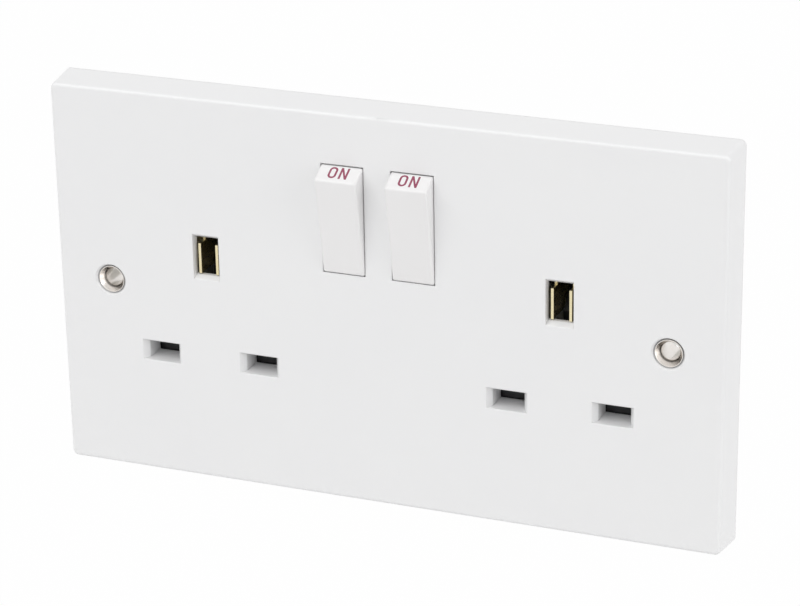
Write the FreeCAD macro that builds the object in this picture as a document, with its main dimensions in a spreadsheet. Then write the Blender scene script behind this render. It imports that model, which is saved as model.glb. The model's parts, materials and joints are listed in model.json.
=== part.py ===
import FreeCAD, Part
import os
import re
import Sketcher

# A twin switched socket outlet for three-pin plugs with flat pins, in millimetres.
# +X is to the right as seen from the room, +Y goes into the wall and +Z is up. The origin is the middle
# of the wall plane, where the rim of the plate rests. Both switches are on.

SIZES = (
    ("plate_width", 145.0, "plate at the wall"),
    ("plate_height", 85.0, "plate at the wall"),
    ("plate_depth", 8.5, "front face to wall plane"),
    ("plate_draft", 0.75, "how far each side leans in between wall and face"),
    ("plate_corner", 1.3, "corner radius of the plate"),
    ("edge_round", 0.7, "rounding of the front edge"),
    ("front_wall", 2.2, "thickness of the front wall"),
    ("rim_wall", 2.8, "width of the rim at the wall plane"),
    ("rib_wall", 1.2, "stiffening ribs between rim and cover"),
    ("rib_depth", 2.6, "ribs, behind the front wall"),
    ("rib_pitch", 26.0, "ribs along the plate"),
    ("end_rib_rise", 20.0, "ribs at the ends, from the middle"),
    ("socket_pitch", 76.2, "between the earth slots of the two outlets"),
    ("pin_row_drop", 14.6, "line and neutral slots below the middle"),
    ("pin_spacing", 22.2, "line to neutral"),
    ("earth_rise", 22.2, "earth slot above the line and neutral slots"),
    ("line_pin_length", 17.7, "line and neutral pins of the plug"),
    ("earth_pin_length", 22.7, "earth pin of the plug"),
    ("pin_clearance", 0.4, "behind the tip of a pin"),
    ("line_slot_width", 6.75, "inside the bevels"),
    ("line_slot_height", 4.4, ""),
    ("line_bevel", 0.95, "bevel at each short end"),
    ("line_bevel_depth", 1.4, ""),
    ("slot_tube_wall", 1.0, "collar behind a line or neutral slot"),
    ("slot_tube_end", 2.4, "end of the collar in front of the wall plane"),
    ("earth_slot_width", 5.8, ""),
    ("earth_slot_height", 8.3, "inside the bevels"),
    ("earth_bevel", 0.75, "bevel at top and bottom"),
    ("earth_bevel_depth", 1.2, ""),
    ("sliding_gap", 0.3, "beside a piece that moves"),
    ("running_gap", 0.05, "round a pin in its hole"),
    ("rocker_pitch", 14.92, "between the two rockers"),
    ("rocker_rise", 19.55, "rocker pivots above the middle"),
    ("opening_width", 9.18, "rocker opening"),
    ("opening_height", 23.1, "rocker opening at the face"),
    ("opening_relief", 0.6, "how much the opening's ends widen to the back"),
    ("pivot_depth", 3.6, "rocker pivot behind the face"),
    ("rocker_tilt", 10.1, "each way from level, degrees"),
    ("rocker_face_out", 5.75, "rocker face ahead of its pivot"),
    ("rocker_face_inset", 1.02, "ends of the face inside the opening"),
    ("rocker_foot_out", 0.27, "feet of the end slopes past the opening"),
    ("rocker_end_out", 1.571, "feet of the end slopes ahead of the pivot"),
    ("rocker_skirt", 1.0, "rocker sides behind the pivot"),
    ("rocker_skirt_inset", 0.65, "skirt inside the opening"),
    ("rocker_side_gap", 0.15, "rocker to the sides of its opening"),
    ("rocker_wall", 1.2, ""),
    ("rocker_side_round", 0.4, ""),
    ("rocker_ridge_round", 0.35, ""),
    ("trunnion_radius", 1.25, ""),
    ("trunnion_length", 1.3, "inside its bearing"),
    ("bearing_width", 6.0, "bearing cheek, up and down"),
    ("bearing_wall", 1.6, "bearing cheek, thickness"),
    ("bearing_reach", 2.4, "bearing cheek behind the pivot"),
    ("bearing_mouth", 2.2, "snap mouth of the bearing"),
    ("stem_radius", 2.7, "rocker stem that guides the plunger"),
    ("stem_reach", 6.5, "stem behind the pivot"),
    ("stem_floor", 3.0, "end of the stem's bore ahead of the pivot"),
    ("plunger_radius", 1.65, ""),
    ("plunger_fit", 0.09, "round the plunger"),
    ("plunger_start", 1.5, "inner end of the plunger behind the pivot"),
    ("plunger_dome", 1.4, "rounding of the plunger's tip"),
    ("plunger_gap", 0.15, "plunger to lever at mid stroke"),
    ("plunger_coil_radius", 1.2, "middle of the wire"),
    ("plunger_wire", 0.2, "wire radius"),
    ("plunger_turns", 3.0, ""),
    ("lever_thickness", 0.8, ""),
    ("lever_width", 4.4, ""),
    ("lever_reach", 8.8, "half the lever's length"),
    ("lever_bend", 6.0, "arms bent towards the room, and tilt each way, degrees"),
    ("lever_ear_radius", 0.6, ""),
    ("fulcrum_wall", 0.8, ""),
    ("fulcrum_height", 4.6, "up and down"),
    ("fulcrum_lip", 0.6, "fulcrum in front of the lever's pivot"),
    ("tip_reach", 7.2, "contact tips from the lever's pivot"),
    ("tip_radius", 1.5, ""),
    ("tip_thickness", 0.8, "moving tip"),
    ("fixed_tip", 1.0, "fixed tip"),
    ("tip_gap", 0.1, "between the tips"),
    ("bar_thickness", 0.8, "line, neutral and earth bars"),
    ("bar_width", 4.4, ""),
    ("leaf_thickness", 0.55, "clips"),
    ("line_clip_width", 6.0, ""),
    ("line_clip_half", 3.0, "half height of a line clip at its base"),
    ("line_clip_throat", 1.7, "half the gap at its narrowest"),
    ("line_clip_mouth", 2.9, "half the gap at the mouth"),
    ("line_clip_lead", 2.6, "mouth to throat"),
    ("line_clip_start", 1.0, "mouth behind the shutter"),
    ("leaf_side_gap", 0.72, "earth leaf to the side of its slot"),
    ("leaf_end_gap", 0.25, "earth leaf to the ends of its slot"),
    ("earth_clip_front", 1.2, "leaf ends behind the face"),
    ("earth_clip_step", 2.3, "how far the top corner of a leaf is cut back"),
    ("earth_clip_step_height", 1.3, ""),
    ("shutter_thickness", 1.6, ""),
    ("shutter_lap", 0.7, "crossbar past a slot, up and down"),
    ("shutter_end_lap", 0.225, "crossbar past a slot, at its ends"),
    ("shutter_travel", 6.0, ""),
    ("earth_pin_height", 8.0, "the ramp's top clears it when the shutter is down"),
    ("shutter_ramp", 6.0, "ramp, front to back"),
    ("spring_coil_radius", 1.5, "shutter spring, middle of the wire"),
    ("spring_wire", 0.2, "wire radius"),
    ("spring_turns", 5.0, ""),
    ("spring_peg_radius", 1.0, ""),
    ("spring_peg_length", 2.0, ""),
    ("spring_end_gap", 0.05, ""),
    ("rail_offset", 5.0, "shutter rails from the outlet's middle"),
    ("rail_wall", 1.4, ""),
    ("cover_wall", 1.8, ""),
    ("cover_floor", 1.8, ""),
    ("cover_gap", 0.6, "inside the upper wall"),
    ("strip_space", 1.8, "between the strips and the floor"),
    ("strip_gap", 0.3, "round the earth strip in its channel"),
    ("cover_corner", 3.0, ""),
    ("cover_edge", 1.0, "rounding of the back edge"),
    ("upper_screw_z", 18.5, "cover screws"),
    ("lower_screw_x", 24.5, ""),
    ("pillar_radius", 3.0, ""),
    ("pillar_end", 6.5, "behind the wall plane, where it meets the cover"),
    ("well_floor", 2.5, "under a cover screw's head"),
    ("well_wall", 0.8, ""),
    ("well_gap", 0.5, "beside a well"),
    ("screw_radius", 1.3, "cover screw"),
    ("screw_length", 10.5, "under the head"),
    ("screw_head_radius", 2.8, ""),
    ("screw_head", 2.1, ""),
    ("recess_length", 3.2, "cross or slot in a screw head"),
    ("recess_width", 0.8, ""),
    ("recess_depth", 1.0, ""),
    ("terminal_pitch", 8.2, ""),
    ("terminal_drop", 5.8, "terminals below the middle"),
    ("terminal_width", 7.2, ""),
    ("terminal_height", 10.0, ""),
    ("terminal_depth", 7.5, ""),
    ("terminal_wall", 0.8, "in front of the wire"),
    ("wire_radius", 2.2, "bore for the conductors"),
    ("wire_entry_gap", 2.0, "round the wire in the cover"),
    ("clamp_radius", 1.6, "terminal screw"),
    ("clamp_tip_gap", 0.2, "tip short of the wire bore"),
    ("clamp_out", 1.3, "head off the strip, ready for wires"),
    ("clamp_head_radius", 2.6, ""),
    ("clamp_head", 2.2, ""),
    ("clamp_access", 0.6, "round the head"),
    ("eyelet_bore", 1.9, "radius"),
    ("eyelet_wall", 0.4, ""),
    ("eyelet_flange", 2.95, "radius of the flange"),
    ("eyelet_recess", 0.5, "flange behind the face"),
    ("eyelet_dish", 1.4, "depth of the flange's cone"),
    ("eyelet_gap", 0.2, "groove round the flange"),
    ("eyelet_rim", 0.3, "thickness of the flange's rim"),
    ("eyelet_lip", 0.8, "spread of the rolled end"),
    ("eyelet_lip_thickness", 0.3, ""),
    ("countersink_spread", 0.3, "plate round the flange at the face"),
    ("boss_wall", 2.05, "round the eyelet"),
    ("boss_gap", 0.275, "boss to the cover"),
    ("link_thickness", 0.5, "earth link"),
    ("link_width", 5.0, ""),
    ("link_tab", 6.0, "part that lies along the earth leaf"),
    ("link_notch", 0.6, "cover's notch round the link"),
)

NAMES = {name for name, number, note in SIZES}
SIDES = (("left", -1), ("right", 1))

# Heights and depths that several pieces share
FACE = "(-plate_depth)"
WALL_BACK = "(front_wall - plate_depth)"
PIN_ROW = "(-pin_row_drop)"
EARTH_ROW = "(earth_rise - pin_row_drop)"
PIVOT = "(pivot_depth - plate_depth)"
TUBE_END = "(-slot_tube_end)"
SHUTTER_FRONT = "(sliding_gap - slot_tube_end)"
SHUTTER_BACK = f"({SHUTTER_FRONT} + shutter_thickness)"
SPRING_DEPTH = f"({SHUTTER_FRONT} + shutter_thickness / 2)"
BAR_FRONT = "(line_pin_length - plate_depth + pin_clearance)"
BAR_BACK = f"({BAR_FRONT} + bar_thickness)"
EARTH_BASE = "(earth_pin_length - plate_depth + pin_clearance)"
EARTH_BAR = f"({EARTH_BASE} + leaf_thickness)"
FLOOR = f"({BAR_BACK} + strip_space)"
COVER_BACK = f"({FLOOR} + cover_floor)"
CHANNEL_FLOOR = f"({EARTH_BAR} + bar_thickness)"
CHANNEL_BACK = f"({CHANNEL_FLOOR} + cover_floor)"
EARTH_GAP = "(earth_slot_width - 2 * leaf_thickness - 2 * leaf_side_gap)"
EARTH_LOW = f"({EARTH_ROW} - earth_slot_height / 2 + leaf_end_gap)"
EARTH_HIGH = f"({EARTH_ROW} + earth_slot_height / 2 - leaf_end_gap)"
EARTH_BAR_END = f"(socket_pitch / 2 + {EARTH_GAP})"
SHUTTER_HALF = "(line_slot_height / 2 + shutter_lap)"
LEVER_PIVOT = f"({BAR_FRONT} - fixed_tip - tip_gap - tip_thickness - lever_thickness / 2)"
WELL = "(screw_head_radius + sliding_gap + well_wall)"
UPPER_SCREW_X = f"((socket_pitch - pin_spacing + bar_width) / 2 + well_gap + {WELL})"
NEUTRAL_BASE = "(pin_row_drop + line_clip_half + leaf_thickness + bar_width)"
LOWER_SCREW_Z = f"({NEUTRAL_BASE} + well_gap + {WELL})"
COVER_INSIDE = "((socket_pitch + pin_spacing + line_slot_width) / 2 + slot_tube_wall + sliding_gap)"
COVER_END = f"({COVER_INSIDE} + cover_wall)"
COVER_HEAD = "(rocker_rise + opening_height / 2 + opening_relief + cover_gap)"
COVER_TOP = f"({COVER_HEAD} + cover_wall)"
COVER_BASE = f"(-{LOWER_SCREW_Z} - pillar_radius - well_gap)"
COVER_BOTTOM = f"({COVER_BASE} - cover_wall)"
BOSS = "(eyelet_bore + eyelet_wall + boss_wall)"
FIXING = f"({COVER_END} + boss_gap + {BOSS})"
TERMINAL_ROW = "(-terminal_drop)"
WIRE_DEPTH = f"({BAR_FRONT} - terminal_depth + terminal_wall + wire_radius)"
TIP_ROW = "(rocker_rise + tip_reach)"
LINK_BACK = "(-eyelet_lip_thickness)"
LINK_FRONT = "(-eyelet_lip_thickness - link_thickness)"
HEAD_SEAT = "(pillar_end + well_floor)"

document = FreeCAD.newDocument("twin_socket")
sheet = document.addObject("Spreadsheet::Sheet", "Sizes")
nodes = []


def fill_sheet():
    """One row for each driving dimension: its number, with an alias, and what it measures."""
    for row, (name, number, note) in enumerate(SIZES, start=1):
        sheet.set(f"A{row}", str(number))
        sheet.setAlias(f"A{row}", name)
        sheet.set(f"B{row}", note)
    document.recompute()


def bound(text):
    """The expression, with each size's name pointed at its cell."""
    return re.sub(r"[a-z_]+", lambda word: "Sizes." + word[0] if word[0] in NAMES else word[0], text)


def value(text):
    return float(sheet.evalExpression(bound(text)))


def rectangle(left, right, low, high):
    return [(left, low), (right, low), (right, high), (left, high)]


def around(middle, half):
    """Two edges, half a width to each side of the middle."""
    return f"{middle} - ({half})", f"{middle} + ({half})"


def circle(across, up, radius):
    return {"across": across, "up": up, "radius": radius}


def pin_sketch_point(sketch, geometry, point, across, up):
    """Ties a point of the sketch to two expressions."""
    for kind, text in (("DistanceX", across), ("DistanceY", up)):
        rule = Sketcher.Constraint(kind, -1, 1, geometry, point, value(text))
        number = sketch.addConstraint(rule)
        sketch.setExpression(f"Constraints[{number}]", bound(text))


def draw_circle(sketch, loop):
    centre = FreeCAD.Vector(value(loop["across"]), value(loop["up"]), 0)
    ring = Part.Circle(centre, FreeCAD.Vector(0, 0, 1), value(loop["radius"]))
    geometry = sketch.addGeometry(ring, False)
    pin_sketch_point(sketch, geometry, 3, loop["across"], loop["up"])
    number = sketch.addConstraint(Sketcher.Constraint("Radius", geometry, value(loop["radius"])))
    sketch.setExpression(f"Constraints[{number}]", bound(loop["radius"]))


def draw_polygon(sketch, points):
    corners = [FreeCAD.Vector(value(across), value(up), 0) for across, up in points]
    ends = corners[1:] + corners[:1]
    lines = [sketch.addGeometry(Part.LineSegment(*pair), False) for pair in zip(corners, ends)]
    for line, following in zip(lines, lines[1:] + lines[:1]):
        sketch.addConstraint(Sketcher.Constraint("Coincident", line, 2, following, 1))
    for line, (across, up) in zip(lines, points):
        pin_sketch_point(sketch, line, 1, across, up)


def spans(edge, axis, first, second):
    """True for an edge that runs from one place to the other along an axis."""
    low = getattr(edge.BoundBox, axis + "Min")
    high = getattr(edge.BoundBox, axis + "Max")
    wanted = sorted((value(first), value(second)))
    return abs(low - wanted[0]) < 1e-3 and abs(high - wanted[1]) < 1e-3


class Piece:
    """One moulded, pressed or turned piece, built up from profiles."""

    # The plane that lies across each axis, and which way along the axis it faces
    planes = {"x": ("YZ_Plane", 1), "y": ("XZ_Plane", -1), "z": ("XY_Plane", 1)}

    def __init__(self, label, is_node=True):
        self.body = document.addObject("PartDesign::Body", label)
        self.body.Label = label
        if is_node:
            nodes.append(self.body)

    def sketch(self, axis, at, loops, shift="0"):
        role, facing = self.planes[axis]
        plane = next(item for item in self.body.Origin.OriginFeatures if item.Role == role)
        sketch = self.body.newObject("Sketcher::SketchObject", "profile")
        sketch.AttachmentSupport = [(plane, "")]
        sketch.MapMode = "FlatFace"
        sketch.setExpression("AttachmentOffset.Base.x", bound(shift))
        sketch.setExpression("AttachmentOffset.Base.z", bound(f"{facing} * ({at})"))
        for loop in loops:
            if isinstance(loop, dict):
                draw_circle(sketch, loop)
            else:
                draw_polygon(sketch, loop)
        return sketch

    def extrude(self, kind, axis, start, end, loops):
        sketch = self.sketch(axis, start, loops)
        feature = self.body.newObject("PartDesign::" + kind, kind.lower())
        feature.Profile = sketch
        feature.setExpression("Length", bound(f"abs(({end}) - ({start}))"))
        along_normal = (value(end) - value(start)) * self.planes[axis][1] > 0
        feature.Reversed = along_normal == (kind == "Pocket")
        return feature

    def add(self, axis, start, end, *loops):
        """Material between two places along an axis."""
        return self.extrude("Pad", axis, start, end, loops)

    def cut(self, axis, start, end, *loops):
        """A recess between two places along an axis, which has to take something away."""
        document.recompute()
        before = self.body.Shape.Volume
        feature = self.extrude("Pocket", axis, start, end, loops)
        document.recompute()
        if not self.body.Shape.Volume < before:
            raise RuntimeError(f"a cut in {self.body.Label} takes nothing away")
        return feature

    def turn(self, kind, across, up, points):
        """A profile of (radius, depth) points turned about a line that goes into the wall."""
        sketch = self.sketch("z", up, [points], shift=across)
        feature = self.body.newObject("PartDesign::" + kind, kind.lower())
        feature.Profile = sketch
        feature.ReferenceAxis = (sketch, ["V_Axis"])
        feature.Angle = 360
        return feature

    def coil(self, sketch, height, turns):
        """A wire wound about the upright axis of the sketch that holds its section."""
        feature = self.body.newObject("PartDesign::AdditiveHelix", "coil")
        feature.Profile = sketch
        feature.ReferenceAxis = (sketch, ["V_Axis"])
        feature.setExpression("Height", bound(height))
        feature.setExpression("Pitch", bound(f"({height}) / {turns}"))

    def round(self, radius, chosen):
        document.recompute()
        base = self.body.Tip
        edges = [f"Edge{n}" for n, edge in enumerate(base.Shape.Edges, start=1) if chosen(edge)]
        fillet = self.body.newObject("PartDesign::Fillet", "rounding")
        fillet.Base = (base, edges)
        fillet.setExpression("Radius", bound(radius))

    def tilt(self, x, y, z, angle):
        """Puts the piece at its pivot, turned about the pivot's axis."""
        turned = FreeCAD.Rotation(FreeCAD.Vector(1, 0, 0), value(angle))
        self.body.Placement = FreeCAD.Placement(FreeCAD.Vector(), turned)
        for axis, place in zip("xyz", (x, y, z)):
            self.body.setExpression(f"Placement.Base.{axis}", bound(place))
        self.body.setExpression("Placement.Rotation.Angle", bound(angle))


def socket_x(side):
    return f"({side} * socket_pitch / 2)"


def line_x(side):
    return f"({socket_x(side)} + pin_spacing / 2)"


def neutral_x(side):
    return f"({socket_x(side)} - pin_spacing / 2)"


def rocker_x(side):
    return f"({side} * rocker_pitch / 2)"


def fixing_x(side):
    return f"({side} * {FIXING})"


# Neutral, two earths and line, from left to right
TERMINALS = (
    ("neutral", "(-1.5 * terminal_pitch)"),
    ("earth_left", "(-0.5 * terminal_pitch)"),
    ("earth_right", "(0.5 * terminal_pitch)"),
    ("line", "(1.5 * terminal_pitch)"),
)
TERMINAL_X = dict(TERMINALS)
SCREW_ROWS = ((UPPER_SCREW_X, "upper_screw_z"), ("lower_screw_x", f"(-{LOWER_SCREW_Z})"))
COVER_SCREWS = [(f"({side} * {across})", up) for side in (-1, 1) for across, up in SCREW_ROWS]


def front_plate():
    """The white moulding: a shallow tray with slots, bearings, bosses and pillars on its back."""
    plate = Piece("front_plate")
    outline = rectangle(*around("0", "plate_width / 2"), *around("0", "plate_height / 2"))
    shell = plate.add("y", "0", FACE, outline)
    shell.setExpression("TaperAngle", bound("-atan(plate_draft / plate_depth)"))
    plate.round("plate_corner", lambda edge: spans(edge, "Y", FACE, "0"))
    plate.round("edge_round", lambda edge: spans(edge, "Y", FACE, FACE))
    across = around("0", "plate_width / 2 - rim_wall")
    up = around("0", "plate_height / 2 - rim_wall")
    plate.cut("y", "0", WALL_BACK, rectangle(*across, *up))
    add_ribs(plate)
    add_bosses(plate)
    cut_pin_slots(plate)
    cut_rocker_openings(plate)
    for side in (-1, 1):
        cut_eyelet_seat(plate, side)


def add_ribs(plate):
    """Ribs that stiffen the plate where it stands out past the cover."""
    ribs = []
    rim_middle = "(plate_height / 2 - rim_wall / 2)"
    for place in range(-2, 3):
        across = around(f"({place} * rib_pitch)", "rib_wall / 2")
        ribs.append(rectangle(*across, f"{COVER_TOP} + sliding_gap", rim_middle))
        ribs.append(rectangle(*across, f"-{rim_middle}", f"{COVER_BOTTOM} - sliding_gap"))
    for side in (-1, 1):
        near = f"{side} * ({COVER_END} + sliding_gap)"
        far = f"{side} * (plate_width / 2 - rim_wall / 2)"
        for hand in (-1, 1):
            ribs.append(rectangle(near, far, *around(f"({hand} * end_rib_rise)", "rib_wall / 2")))
    plate.add("y", f"{WALL_BACK} + rib_depth", WALL_BACK, *ribs)


def add_bosses(plate):
    """Collars behind the slots, bosses round the fixing holes and pillars for the cover screws."""
    collars = []
    for side in (-1, 1):
        for middle in (neutral_x(side), line_x(side)):
            across = around(middle, "line_slot_width / 2 + slot_tube_wall")
            collars.append(rectangle(*across, *around(PIN_ROW, "line_slot_height / 2 + slot_tube_wall")))
    plate.add("y", TUBE_END, WALL_BACK, *collars)
    plate.add("y", "0", WALL_BACK, *[circle(fixing_x(side), "0", BOSS) for side in (-1, 1)])
    seats = [circle(fixing_x(side), "0", f"{BOSS} + sliding_gap") for side in (-1, 1)]
    plate.cut("y", "0", LINK_FRONT, *seats)
    pillars = [circle(x, z, "pillar_radius") for x, z in COVER_SCREWS]
    plate.add("y", "pillar_end", WALL_BACK, *pillars)
    pilots = [circle(x, z, "screw_radius + running_gap") for x, z in COVER_SCREWS]
    plate.cut("y", "pillar_end", f"{HEAD_SEAT} - screw_length - sliding_gap", *pilots)


def cut_pin_slots(plate):
    """Slots for the pins, bevelled where a pin is guided in: at the ends of the flat pins."""
    for side in (-1, 1):
        for middle in (neutral_x(side), line_x(side)):
            narrow = around(middle, "line_slot_width / 2")
            wide = around(middle, "line_slot_width / 2 + line_bevel")
            bevel_end = f"{FACE} + line_bevel_depth"
            funnel = [(wide[0], FACE), (wide[1], FACE), (narrow[1], bevel_end), (narrow[1], TUBE_END),
                      (narrow[0], TUBE_END), (narrow[0], bevel_end)]
            plate.cut("z", *around(PIN_ROW, "line_slot_height / 2"), funnel)
        narrow = around(EARTH_ROW, "earth_slot_height / 2")
        wide = around(EARTH_ROW, "earth_slot_height / 2 + earth_bevel")
        bevel_end = f"{FACE} + earth_bevel_depth"
        funnel = [(FACE, wide[0]), (FACE, wide[1]), (bevel_end, narrow[1]), (WALL_BACK, narrow[1]),
                  (WALL_BACK, narrow[0]), (bevel_end, narrow[0])]
        plate.cut("x", *around(socket_x(side), "earth_slot_width / 2"), funnel)


def cut_rocker_openings(plate):
    """An opening for each rocker, with a bearing cheek on both sides that its trunnions snap into."""
    cheek_end = f"{PIVOT} + bearing_reach"
    cheek = rectangle(WALL_BACK, cheek_end, *around("rocker_rise", "bearing_width / 2"))
    at_face = around("rocker_rise", "opening_height / 2")
    at_back = around("rocker_rise", "opening_height / 2 + opening_relief")
    window = [(FACE, at_face[0]), (FACE, at_face[1]), (WALL_BACK, at_back[1]), (WALL_BACK, at_back[0])]
    bearing = circle(PIVOT, "rocker_rise", "trunnion_radius + running_gap")
    mouth = rectangle(PIVOT, cheek_end, *around("rocker_rise", "bearing_mouth / 2"))
    for side in (-1, 1):
        edges = around(rocker_x(side), "opening_width / 2")
        outer = around(rocker_x(side), "opening_width / 2 + bearing_wall")
        plate.add("x", edges[0], outer[0], cheek)
        plate.add("x", edges[1], outer[1], cheek)
        plate.cut("x", *edges, window)
        plate.cut("x", *outer, bearing)
        plate.cut("x", *outer, mouth)


def cut_eyelet_seat(plate, side):
    """The countersunk hole that the eyelet is riveted into, with a groove round the flange."""
    rim = f"{FACE} + eyelet_recess"
    ledge = f"{rim} + eyelet_rim"
    tube = "eyelet_bore + eyelet_wall + running_gap"
    groove = "eyelet_flange + eyelet_gap"
    seat = [("0", FACE), (f"{groove} + countersink_spread", FACE), (groove, rim), (groove, ledge),
            ("eyelet_flange + running_gap", ledge), (tube, f"{ledge} + eyelet_dish"),
            (tube, LINK_FRONT), ("0", LINK_FRONT)]
    plate.turn("Groove", fixing_x(side), "0", seat)


def eyelet(name, side):
    """A plated tube with a dished flange in front and a rolled lip behind the earth link."""
    piece = Piece("eyelet_" + name)
    rim = f"{FACE} + eyelet_recess"
    tube = "eyelet_bore + eyelet_wall"
    section = [("eyelet_bore", f"{rim} + eyelet_dish"), ("eyelet_flange - eyelet_wall / 2", rim),
               ("eyelet_flange", rim), ("eyelet_flange", f"{rim} + eyelet_rim"),
               (tube, f"{rim} + eyelet_dish + eyelet_rim"), (tube, LINK_BACK),
               (f"{tube} + eyelet_lip", LINK_BACK), (f"{tube} + eyelet_lip", "0"), ("eyelet_bore", "0")]
    piece.turn("Revolution", fixing_x(side), "0", section)
    throat = f"{rim} + eyelet_dish"
    outside = around(fixing_x(side), "eyelet_flange")
    piece.round("eyelet_wall", lambda edge: spans(edge, "Y", throat, throat))
    piece.round("eyelet_wall / 4", lambda edge: spans(edge, "Y", rim, rim) and spans(edge, "X", *outside))


def earth_link(name, side):
    """A strap from the eyelet to the outer leaf of the earth clip."""
    piece = Piece("earth_link_" + name)
    ring = circle(fixing_x(side), "0", BOSS)
    hole = circle(fixing_x(side), "0", "eyelet_bore + eyelet_wall + running_gap")
    leaf = f"({socket_x(side)} + {side} * ({EARTH_GAP} / 2 + leaf_thickness))"
    low, high = around(EARTH_ROW, "link_width / 2")
    strap = [(fixing_x(side), "-link_width / 2"), (fixing_x(side), "link_width / 2"),
             (leaf, high), (leaf, low)]
    piece.add("y", LINK_FRONT, LINK_BACK, ring)
    piece.add("y", LINK_FRONT, LINK_BACK, strap)
    piece.cut("y", LINK_FRONT, LINK_BACK, hole)
    tab = rectangle(leaf, f"{leaf} + {side} * link_thickness", low, high)
    piece.add("y", LINK_FRONT, f"{LINK_FRONT} + link_tab", tab)


def earth_clip(name, side):
    """Two leaves that grip the earth pin, folded up from one strip."""
    piece = Piece("earth_clip_" + name)
    inner = around(socket_x(side), f"{EARTH_GAP} / 2")
    outer = around(socket_x(side), f"{EARTH_GAP} / 2 + leaf_thickness")
    front = f"({FACE} + earth_clip_front)"
    fold = [(outer[0], front), (inner[0], front), (inner[0], EARTH_BASE), (inner[1], EARTH_BASE),
            (inner[1], front), (outer[1], front), (outer[1], EARTH_BAR), (outer[0], EARTH_BAR)]
    piece.add("z", EARTH_LOW, EARTH_HIGH, fold)
    step = f"{EARTH_HIGH} - earth_clip_step_height"
    corner = rectangle(front, f"{front} + earth_clip_step", step, EARTH_HIGH)
    piece.cut("x", *outer, corner)


def add_line_clip(piece, middle):
    """Two sprung leaves for a flat pin, open towards the shutter."""
    mouth = f"({SHUTTER_BACK} + line_clip_start)"
    throat = f"({mouth} + line_clip_lead)"
    base = "line_clip_half - leaf_thickness"
    upper = [(BAR_BACK, "line_clip_half"), (throat, "line_clip_throat + leaf_thickness"),
             (mouth, "line_clip_mouth + leaf_thickness"), (mouth, "line_clip_mouth"),
             (throat, "line_clip_throat"), (BAR_FRONT, base)]
    lower = [(depth, f"-({up})") for depth, up in reversed(upper)]
    section = [(depth, f"{PIN_ROW} + {up}") for depth, up in upper + lower]
    piece.add("x", *around(middle, "line_clip_width / 2"), section)


def cut_clamp_hole(piece, x):
    piece.cut("y", BAR_FRONT, BAR_BACK, circle(x, TERMINAL_ROW, "clamp_radius + clamp_tip_gap"))


def line_contact(name, side):
    """The strip from a switch to the line clip of its outlet."""
    piece = Piece("line_contact_" + name)
    low, high = around(TIP_ROW, "bar_width / 2")
    near = f"{rocker_x(side)} - {side} * bar_width / 2"
    inside = f"{line_x(side)} - {side} * bar_width / 2"
    outside = f"{line_x(side)} + {side} * bar_width / 2"
    foot = f"{PIN_ROW} + line_clip_half - leaf_thickness"
    strip = [(near, low), (near, high), (outside, high), (outside, foot), (inside, foot), (inside, low)]
    piece.add("y", BAR_FRONT, BAR_BACK, strip)
    add_line_clip(piece, line_x(side))


def neutral_bar():
    """One strip under the row of terminals, with both neutral clips and a tab for the terminal."""
    piece = Piece("neutral_bar")
    base = f"(-{NEUTRAL_BASE})"
    top = f"{base} + bar_width"
    clip = f"{PIN_ROW} + line_clip_half - leaf_thickness"
    tab = around(TERMINAL_X["neutral"], "terminal_width / 2")
    tab_top = f"{TERMINAL_ROW} + terminal_height / 2"
    left = around(neutral_x(-1), "line_clip_width / 2")
    right = around(neutral_x(1), "line_clip_width / 2")
    strip = [(left[0], base), (right[1], base), (right[1], clip), (right[0], clip), (right[0], top),
             (tab[1], top), (tab[1], tab_top), (tab[0], tab_top), (tab[0], top),
             (left[1], top), (left[1], clip), (left[0], clip)]
    piece.add("y", BAR_FRONT, BAR_BACK, strip)
    for side in (-1, 1):
        add_line_clip(piece, neutral_x(side))
    cut_clamp_hole(piece, TERMINAL_X["neutral"])


def live_bar():
    """The strip from the line terminal up to the two fulcrums that the levers rock on."""
    piece = Piece("live_bar")
    tab = around(TERMINAL_X["line"], "terminal_width / 2")
    foot = f"{TERMINAL_ROW} - terminal_height / 2"
    low, high = around("rocker_rise", "fulcrum_height / 2")
    far = f"{rocker_x(-1)} - lever_width / 2 - sliding_gap - fulcrum_wall"
    strip = [(tab[0], foot), (tab[1], foot), (tab[1], high), (far, high), (far, low), (tab[0], low)]
    piece.add("y", BAR_FRONT, BAR_BACK, strip)
    front = f"({LEVER_PIVOT} - lever_ear_radius - fulcrum_lip)"
    cheek = rectangle(front, BAR_FRONT, low, high)
    seat = circle(LEVER_PIVOT, "rocker_rise", "lever_ear_radius + running_gap")
    mouth = rectangle(front, LEVER_PIVOT, *around("rocker_rise", "lever_ear_radius + running_gap"))
    for side in (-1, 1):
        inner = around(rocker_x(side), "lever_width / 2 + sliding_gap")
        outer = around(rocker_x(side), "lever_width / 2 + sliding_gap + fulcrum_wall")
        piece.add("x", inner[0], outer[0], cheek)
        piece.add("x", inner[1], outer[1], cheek)
        piece.cut("x", *outer, seat)
        piece.cut("x", *outer, mouth)
    cut_clamp_hole(piece, TERMINAL_X["line"])


def earth_bar():
    """The strip behind both earth clips, with a cranked leg to the two earth terminals."""
    piece = Piece("earth_bar")
    ends = around("0", EARTH_BAR_END)
    piece.add("y", EARTH_BAR, CHANNEL_FLOOR, rectangle(*ends, EARTH_LOW, EARTH_HIGH))
    foot = f"{TERMINAL_ROW} - terminal_height / 2"
    fold = f"{EARTH_LOW} - bar_thickness"
    leg = [(CHANNEL_FLOOR, EARTH_LOW), (CHANNEL_FLOOR, fold), (BAR_BACK, fold), (BAR_BACK, foot),
           (BAR_FRONT, foot), (BAR_FRONT, EARTH_LOW)]
    piece.add("x", *around("0", "terminal_pitch / 2 + terminal_width / 2"), leg)
    for name in ("earth_left", "earth_right"):
        cut_clamp_hole(piece, TERMINAL_X[name])


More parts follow.
